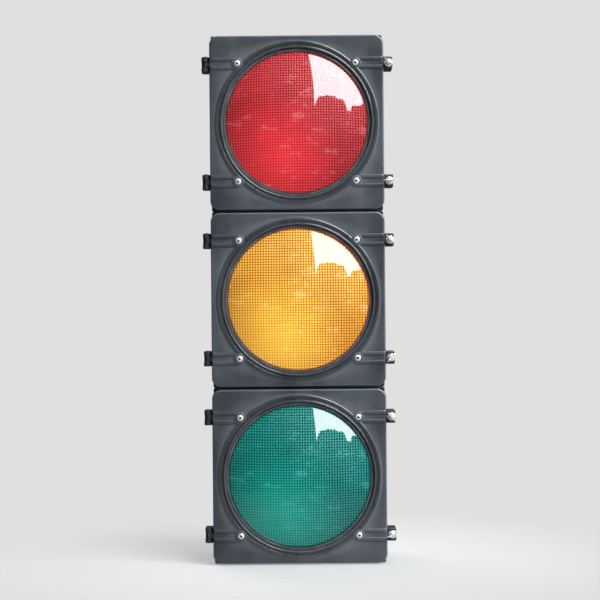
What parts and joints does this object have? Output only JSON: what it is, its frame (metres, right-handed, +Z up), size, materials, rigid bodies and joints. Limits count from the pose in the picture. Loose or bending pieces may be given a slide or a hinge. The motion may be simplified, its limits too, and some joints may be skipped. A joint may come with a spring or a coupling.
{
  "type": "traffic signal head",
  "caption": "Upright vehicle signal head with stacked red, amber and green lensed sections, each with a hinged front door held shut by wing-screw latches.",
  "frame": {"origin": "centre of the bottom plug's flat face, on the axis of the pipe openings", "axes": "+Z up, the lenses face -Y, the hinges are on -X and the latches on +X"},
  "size_m": [0.3891, 0.2165, 1.0662],
  "materials": {
    "housing": "satin",
    "door": "satin",
    "lens_red": "gloss",
    "lens_amber": "gloss",
    "lens_green": "gloss",
    "gasket": "matte",
    "steel": "bright",
    "reflector": "polished",
    "cast_frame": "as cast",
    "phenolic": "moulded",
    "lamp_glass": "clear"
  },
  "bodies": {
    "root": {"housing_green": "housing", "reflector_green": "reflector", "reflector_frame_green": "cast_frame", "lampholder_green": "phenolic", "lamp_green": "lamp_glass", "hinge_pin_green_lower": "steel", "hinge_pin_green_upper": "steel", "housing_amber": "housing", "reflector_amber": "reflector", "reflector_frame_amber": "cast_frame", "lampholder_amber": "phenolic", "lamp_amber": "lamp_glass", "hinge_pin_amber_lower": "steel", "hinge_pin_amber_upper": "steel", "housing_red": "housing", "reflector_red": "reflector", "reflector_frame_red": "cast_frame", "lampholder_red": "phenolic", "lamp_red": "lamp_glass", "hinge_pin_red_lower": "steel", "hinge_pin_red_upper": "steel", "coupling_nipple_lower": "cast_frame", "coupling_locknut_lower": "cast_frame", "coupling_nipple_upper": "cast_frame", "coupling_locknut_upper": "cast_frame", "bottom_plug": "phenolic", "terminal_block": "phenolic"},
    "door_green": {"door_green": "door", "lens_green": "lens_green", "lens_gasket_green": "gasket", "door_screw_green_lower_left": "steel", "door_screw_green_lower_right": "steel", "door_screw_green_upper_left": "steel", "door_screw_green_upper_right": "steel"},
    "latch_green_lower": {"latch_washer_green_lower": "steel"},
    "wing_green_lower": {"wing_screw_green_lower": "steel"},
    "latch_green_upper": {"latch_washer_green_upper": "steel"},
    "wing_green_upper": {"wing_screw_green_upper": "steel"},
    "door_amber": {"door_amber": "door", "lens_amber": "lens_amber", "lens_gasket_amber": "gasket", "door_screw_amber_lower_left": "steel", "door_screw_amber_lower_right": "steel", "door_screw_amber_upper_left": "steel", "door_screw_amber_upper_right": "steel"},
    "latch_amber_lower": {"latch_washer_amber_lower": "steel"},
    "wing_amber_lower": {"wing_screw_amber_lower": "steel"},
    "latch_amber_upper": {"latch_washer_amber_upper": "steel"},
    "wing_amber_upper": {"wing_screw_amber_upper": "steel"},
    "door_red": {"door_red": "door", "lens_red": "lens_red", "lens_gasket_red": "gasket", "door_screw_red_lower_left": "steel", "door_screw_red_lower_right": "steel", "door_screw_red_upper_left": "steel", "door_screw_red_upper_right": "steel"},
    "latch_red_lower": {"latch_washer_red_lower": "steel"},
    "wing_red_lower": {"wing_screw_red_lower": "steel"},
    "latch_red_upper": {"latch_washer_red_upper": "steel"},
    "wing_red_upper": {"wing_screw_red_upper": "steel"}
  },
  "joints": [
    {"name": "door_green_hinge", "type": "hinge", "parent": "root", "child": "door_green", "pos_m": [-0.1834, -0.088, 0.1775], "axis": [0, 0, -1], "range_deg": [0, 110]},
    {"name": "latch_green_lower_travel", "type": "slide", "parent": "door_green", "child": "latch_green_lower", "axis": [0, -1, 0], "range_m": [0, 0.0096]},
    {"name": "wing_green_lower_turn", "type": "hinge", "parent": "latch_green_lower", "child": "wing_green_lower", "pos_m": [0.1852, -0.0989, 0.059], "axis": [0, -1, 0], "range_deg": [0, 2700]},
    {"name": "latch_green_upper_travel", "type": "slide", "parent": "door_green", "child": "latch_green_upper", "axis": [0, -1, 0], "range_m": [0, 0.0096]},
    {"name": "wing_green_upper_turn", "type": "hinge", "parent": "latch_green_upper", "child": "wing_green_upper", "pos_m": [0.1852, -0.0989, 0.296], "axis": [0, -1, 0], "range_deg": [0, 2700]},
    {"name": "door_amber_hinge", "type": "hinge", "parent": "root", "child": "door_amber", "pos_m": [-0.1834, -0.088, 0.5331], "axis": [0, 0, -1], "range_deg": [0, 110]},
    {"name": "latch_amber_lower_travel", "type": "slide", "parent": "door_amber", "child": "latch_amber_lower", "axis": [0, -1, 0], "range_m": [0, 0.0096]},
    {"name": "wing_amber_lower_turn", "type": "hinge", "parent": "latch_amber_lower", "child": "wing_amber_lower", "pos_m": [0.1852, -0.0989, 0.4146], "axis": [0, -1, 0], "range_deg": [0, 2700]},
    {"name": "latch_amber_upper_travel", "type": "slide", "parent": "door_amber", "child": "latch_amber_upper", "axis": [0, -1, 0], "range_m": [0, 0.0096]},
    {"name": "wing_amber_upper_turn", "type": "hinge", "parent": "latch_amber_upper", "child": "wing_amber_upper", "pos_m": [0.1852, -0.0989, 0.6516], "axis": [0, -1, 0], "range_deg": [0, 2700]},
    {"name": "door_red_hinge", "type": "hinge", "parent": "root", "child": "door_red", "pos_m": [-0.1834, -0.088, 0.8887], "axis": [0, 0, -1], "range_deg": [0, 110]},
    {"name": "latch_red_lower_travel", "type": "slide", "parent": "door_red", "child": "latch_red_lower", "axis": [0, -1, 0], "range_m": [0, 0.0096]},
    {"name": "wing_red_lower_turn", "type": "hinge", "parent": "latch_red_lower", "child": "wing_red_lower", "pos_m": [0.1852, -0.0989, 0.7702], "axis": [0, -1, 0], "range_deg": [0, 2700]},
    {"name": "latch_red_upper_travel", "type": "slide", "parent": "door_red", "child": "latch_red_upper", "axis": [0, -1, 0], "range_m": [0, 0.0096]},
    {"name": "wing_red_upper_turn", "type": "hinge", "parent": "latch_red_upper", "child": "wing_red_upper", "pos_m": [0.1852, -0.0989, 1.0072], "axis": [0, -1, 0], "range_deg": [0, 2700]}
  ],
  "couplings": [
    {"joint": "latch_green_lower_travel", "follows": "wing_green_lower_turn", "m_per_rad": 0.00020213},
    {"joint": "latch_green_upper_travel", "follows": "wing_green_upper_turn", "m_per_rad": 0.00020213},
    {"joint": "latch_amber_lower_travel", "follows": "wing_amber_lower_turn", "m_per_rad": 0.00020213},
    {"joint": "latch_amber_upper_travel", "follows": "wing_amber_upper_turn", "m_per_rad": 0.00020213},
    {"joint": "latch_red_lower_travel", "follows": "wing_red_lower_turn", "m_per_rad": 0.00020213},
    {"joint": "latch_red_upper_travel", "follows": "wing_red_upper_turn", "m_per_rad": 0.00020213}
  ]
}
